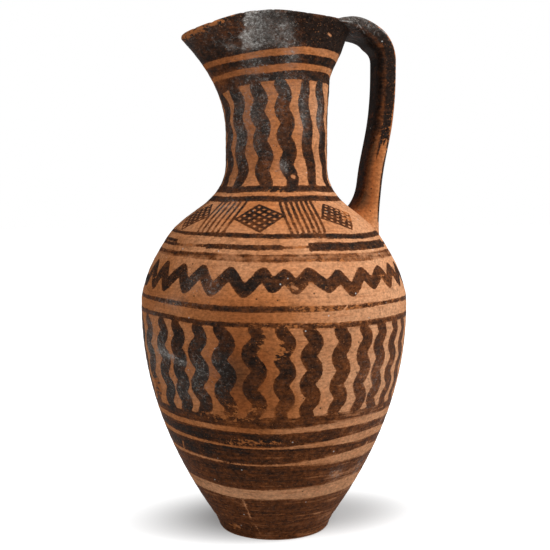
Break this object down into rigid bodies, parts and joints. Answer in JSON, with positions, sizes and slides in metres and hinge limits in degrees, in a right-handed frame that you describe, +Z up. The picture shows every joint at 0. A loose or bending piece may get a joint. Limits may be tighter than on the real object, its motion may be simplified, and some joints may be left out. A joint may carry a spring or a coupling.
{
  "type": "oinochoe jug",
  "caption": "Painted earthenware wine jug with ring foot, swelling body, round neck, pinched trefoil mouth with spout, and a strap handle from rim to shoulder.",
  "frame": {"origin": "centre of the base, on the surface that the jug stands on", "axes": "+Z up along the axis of the pot, +X towards the handle, -X towards the spout, mirror plane XZ"},
  "size_m": [0.1646, 0.1646, 0.3166],
  "materials": {
    "painted_clay": "fired tan-orange clay with painted bands and wavy lines in brown-black slip, worn satin",
    "bare_clay": "bare fired clay, matt, finger-smoothed",
    "handle_clay": "fired clay with a worn dark slip over the upper part, satin"
  },
  "bodies": {
    "root": {"foot_ring": "painted_clay", "lower_body": "painted_clay", "upper_body": "painted_clay", "belly_seam_coil": "bare_clay", "neck_and_mouth": "painted_clay", "neck_seam_coil": "bare_clay", "strap_handle": "handle_clay", "handle_root_coil": "handle_clay", "handle_rim_pad": "handle_clay"}
  },
  "joints": []
}
